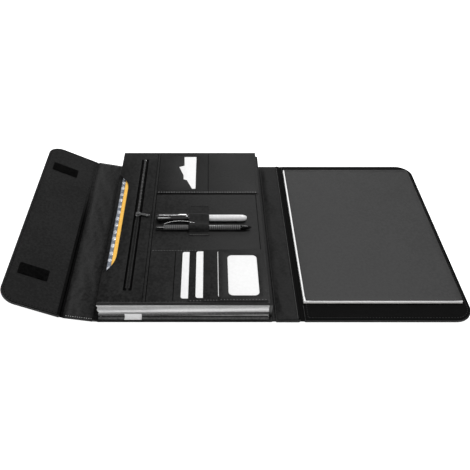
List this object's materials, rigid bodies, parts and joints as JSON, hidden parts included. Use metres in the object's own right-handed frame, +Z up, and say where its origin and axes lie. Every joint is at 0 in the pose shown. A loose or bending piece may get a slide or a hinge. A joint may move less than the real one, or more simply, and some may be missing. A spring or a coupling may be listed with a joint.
{
  "type": "document folder",
  "caption": "Open document folder with a zipped organiser leaf over clear pockets, a paper pad in the front cover and a gusseted closing flap.",
  "frame": {"origin": "middle of the back panel's flat underside, on the table plane", "axes": "+X along the opened width towards the front cover, +Y away from the reader, +Z up"},
  "size_m": [0.6073, 0.343, 0.0473],
  "materials": {
    "leather": "satin grained",
    "lining": "matt fine grain",
    "board": "matt grey board",
    "clear_plastic": "glossy clear film seen edge on",
    "black_plastic": "glossy black",
    "black_fabric": "woven black",
    "dark_metal": "dark plated",
    "chrome": "polished",
    "white_paper": "matt white",
    "white_plastic": "satin white",
    "yellow_paper": "matt padded paper"
  },
  "bodies": {
    "back": {"back_outer_skin": "leather", "back_board": "board", "back_lining": "lining", "spine_crease": "leather", "gusset_crease": "leather", "clear_pocket_1": "clear_plastic", "clear_pocket_2": "clear_plastic", "clear_pocket_3": "clear_plastic", "clear_pocket_4": "clear_plastic", "clear_pocket_5": "clear_plastic", "binding_strip": "black_plastic", "index_tab": "white_paper"},
    "spine": {"spine_outer_skin": "leather", "spine_board": "board", "spine_lining": "lining", "cover_crease": "leather"},
    "front": {"front_outer_skin": "leather", "front_board": "board", "front_lining": "lining", "loop_patch_near": "black_fabric", "loop_patch_far": "black_fabric"},
    "gusset": {"gusset": "leather", "flap_crease": "leather"},
    "flap": {"flap_outer_skin": "leather", "flap_board": "board", "flap_lining": "lining", "hook_patch_near": "black_fabric", "hook_patch_far": "black_fabric"},
    "stack_top": {"top_sheet": "lining"},
    "leaf": {"leaf_back": "lining", "leaf_wall": "leather", "leaf_front": "leather", "zip_tape_left": "black_fabric", "zip_tape_right": "black_fabric", "zip_coil_left": "black_plastic", "zip_coil_right": "black_plastic", "zip_stop": "dark_metal", "card_pocket_1": "leather", "card_pocket_2": "leather", "window_pocket": "leather", "upper_pocket": "leather", "pen_loop": "black_fabric"},
    "envelope": {"padded_envelope": "yellow_paper"},
    "slider": {"zip_slider": "dark_metal"},
    "pull": {"zip_pull": "dark_metal"},
    "marker": {"marker_barrel": "white_plastic"},
    "cap": {"marker_cap": "chrome", "marker_clip": "chrome"},
    "pen": {"pen_barrel": "black_plastic", "pen_tip": "black_plastic", "pen_clip": "chrome"},
    "clicker": {"pen_clicker": "chrome"},
    "first_card": {"card_1": "white_paper"},
    "second_card": {"card_2": "white_paper"},
    "framed_card": {"window_card": "white_paper"},
    "note": {"note_card": "white_paper"},
    "pad": {"pad_backing_card": "board", "pad_pages": "white_paper", "pad_binding": "lining"},
    "pad_front": {"pad_cover": "lining"}
  },
  "joints": [
    {"name": "spine_fold", "type": "hinge", "parent": "back", "child": "spine", "pos_m": [0.1155, 0, 0.004], "axis": [0, -1, 0], "range_deg": [0, 90], "deforming": ["spine_crease"]},
    {"name": "cover_fold", "type": "hinge", "parent": "spine", "child": "front", "pos_m": [0.1525, 0, 0.004], "axis": [0, -1, 0], "range_deg": [0, 90], "deforming": ["cover_crease"]},
    {"name": "gusset_fold", "type": "hinge", "parent": "back", "child": "gusset", "pos_m": [-0.1155, 0, 0.004], "axis": [0, 1, 0], "range_deg": [-11, 79], "deforming": ["gusset_crease"]},
    {"name": "flap_fold", "type": "hinge", "parent": "gusset", "child": "flap", "pos_m": [-0.15732, 0, 0.01213], "axis": [0, 1, 0], "range_deg": [-15, 75], "deforming": ["flap_crease"]},
    {"name": "stack_squeeze", "type": "slide", "parent": "back", "child": "stack_top", "axis": [0, 0, -1], "range_m": [0, 0.01], "stiffness_N_per_m": 900, "springref_m": -0.006, "deforming": ["clear_pocket_1", "clear_pocket_2", "clear_pocket_3", "clear_pocket_4", "clear_pocket_5", "binding_strip"]},
    {"name": "leaf_turn", "type": "hinge", "parent": "stack_top", "child": "leaf", "pos_m": [0.109, 0, 0.0266], "axis": [0, -1, 0], "range_deg": [-90, 0]},
    {"name": "envelope_slide", "type": "slide", "parent": "leaf", "child": "envelope", "axis": [1, 0, 0], "range_m": [-0.072, 0]},
    {"name": "zip_slide", "type": "slide", "parent": "leaf", "child": "slider", "axis": [0, 1, 0], "range_m": [-0.144, 0.133]},
    {"name": "pull_swivel", "type": "hinge", "parent": "slider", "child": "pull", "pos_m": [-0.074, 0.0082, 0.033], "axis": [0, 0, 1], "range_deg": [-85, 85]},
    {"name": "marker_slide", "type": "slide", "parent": "leaf", "child": "marker", "axis": [1, 0, 0], "range_m": [-0.095, 0]},
    {"name": "cap_pull", "type": "slide", "parent": "marker", "child": "cap", "axis": [1, 0, 0], "range_m": [-0.045, 0]},
    {"name": "pen_slide", "type": "slide", "parent": "leaf", "child": "pen", "axis": [1, 0, 0], "range_m": [-0.095, 0]},
    {"name": "clicker_press", "type": "slide", "parent": "pen", "child": "clicker", "axis": [1, 0, 0], "range_m": [0, 0.003], "stiffness_N_per_m": 300, "springref_m": -0.002},
    {"name": "first_card_slide", "type": "slide", "parent": "leaf", "child": "first_card", "axis": [1, 0, 0], "range_m": [-0.04, 0]},
    {"name": "second_card_slide", "type": "slide", "parent": "leaf", "child": "second_card", "axis": [1, 0, 0], "range_m": [-0.04, 0]},
    {"name": "framed_card_slide", "type": "slide", "parent": "leaf", "child": "framed_card", "axis": [1, 0, 0], "range_m": [-0.045, 0]},
    {"name": "note_slide", "type": "slide", "parent": "leaf", "child": "note", "axis": [0, 1, 0], "range_m": [-0.036, 0]},
    {"name": "pad_slide", "type": "slide", "parent": "front", "child": "pad", "axis": [0, 1, 0], "range_m": [-0.12, 0]},
    {"name": "pad_cover_turn", "type": "hinge", "parent": "pad", "child": "pad_front", "pos_m": [0, 0.15025, 0.00895], "axis": [1, 0, 0], "range_deg": [-178, 0]}
  ]
}
